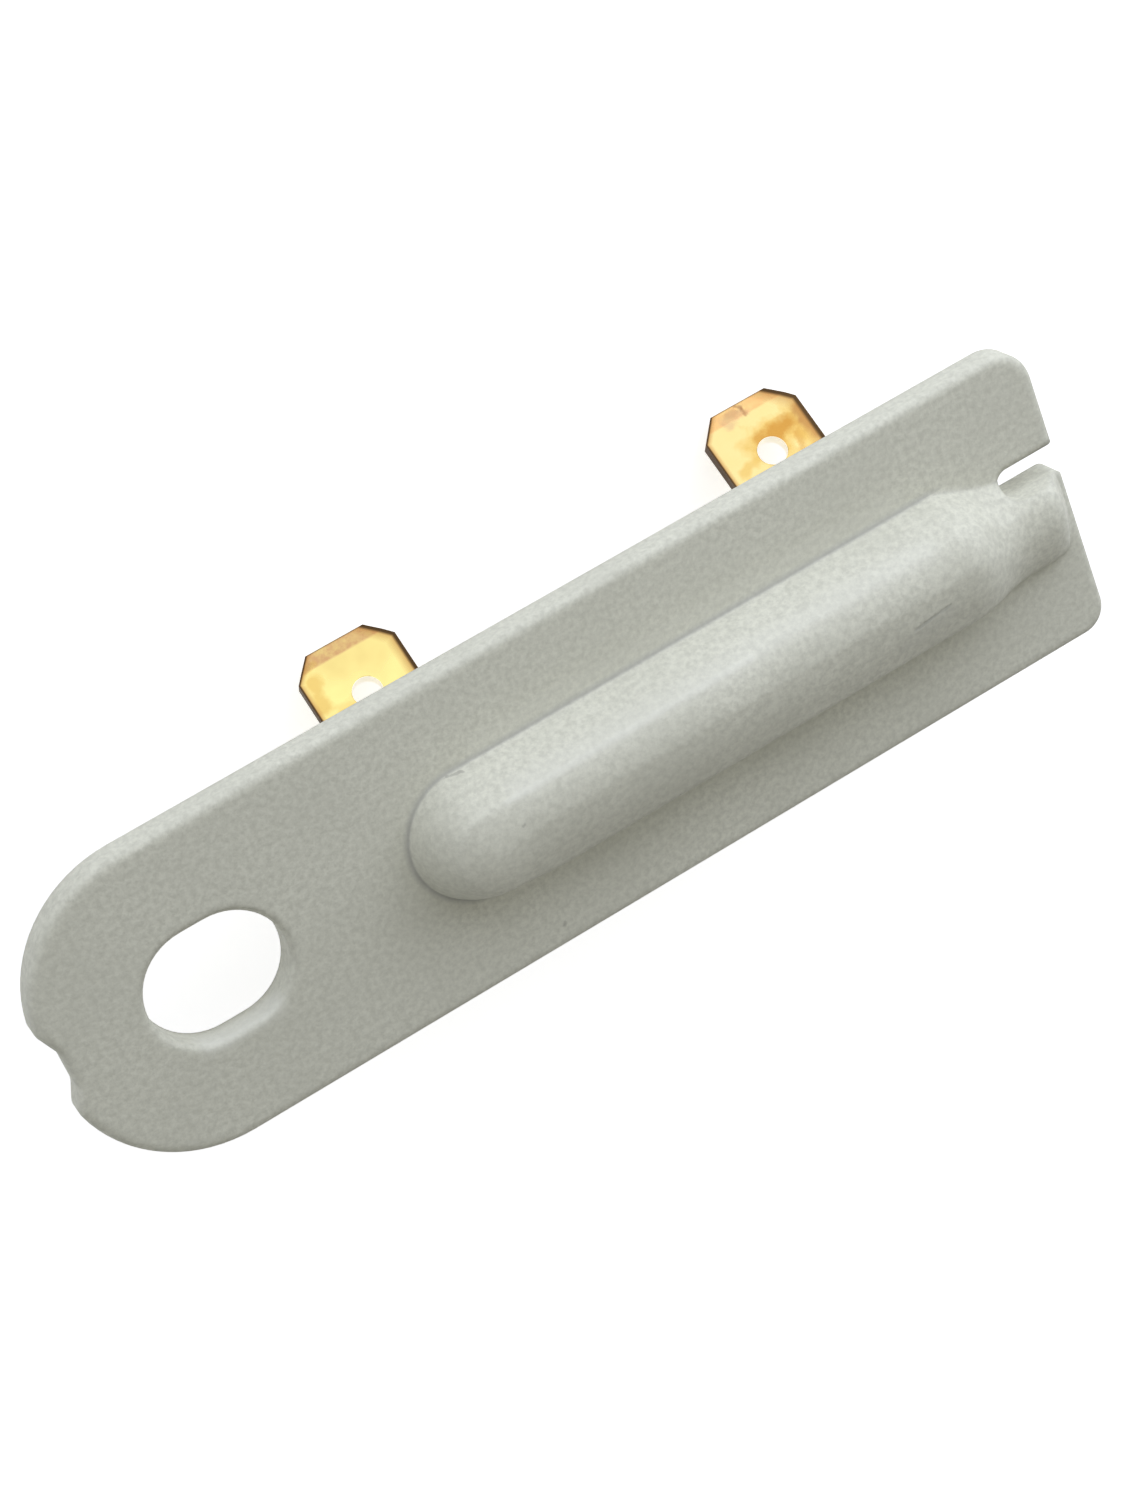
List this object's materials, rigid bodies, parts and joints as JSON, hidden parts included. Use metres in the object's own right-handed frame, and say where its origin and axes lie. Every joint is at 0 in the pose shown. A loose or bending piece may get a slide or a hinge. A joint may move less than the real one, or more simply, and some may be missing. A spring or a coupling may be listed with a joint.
{
  "type": "thermal fuse",
  "caption": "Flat moulded thermal fuse with a half-round ridge over its cutoff, an oval screw hole in the rounded end and blade terminals leaning out of the back.",
  "frame": {"origin": "middle of the oval screw hole, on the front face that seats against the duct", "axes": "+X along the plate towards the slotted end, +Y towards the long edge that the blades pass, +Z out of the front face on the ridge's side"},
  "size_m": [0.0673, 0.0196, 0.0149],
  "materials": {
    "housing_plastic": "matte, pale warm grey, fine moulded grain",
    "potting_resin": "matte cast resin, grey beige",
    "terminal_brass": "bright rolled brass with darker cut edges",
    "plated_case": "plated drawn case, satin",
    "tinned_wire": "tinned copper wire, satin",
    "pellet_wax": "pressed organic pellet, matte",
    "spring_steel": "spring steel, satin",
    "contact_silver": "silver-plated, bright",
    "bushing_ceramic": "unglazed ceramic",
    "seal_resin": "clear brown sealing resin"
  },
  "bodies": {
    "root": {"body_moulding": "housing_plastic", "potting": "potting_resin", "left_terminal": "terminal_brass", "right_terminal": "terminal_brass", "cutoff_case": "plated_case", "case_lead": "tinned_wire", "isolated_lead": "tinned_wire", "thermal_pellet": "pellet_wax", "pellet_disc": "spring_steel", "spring_disc": "spring_steel", "barrel_spring": "spring_steel", "trip_spring": "spring_steel", "star_contact": "contact_silver", "ceramic_bushing": "bushing_ceramic", "epoxy_seal": "seal_resin"}
  },
  "joints": []
}
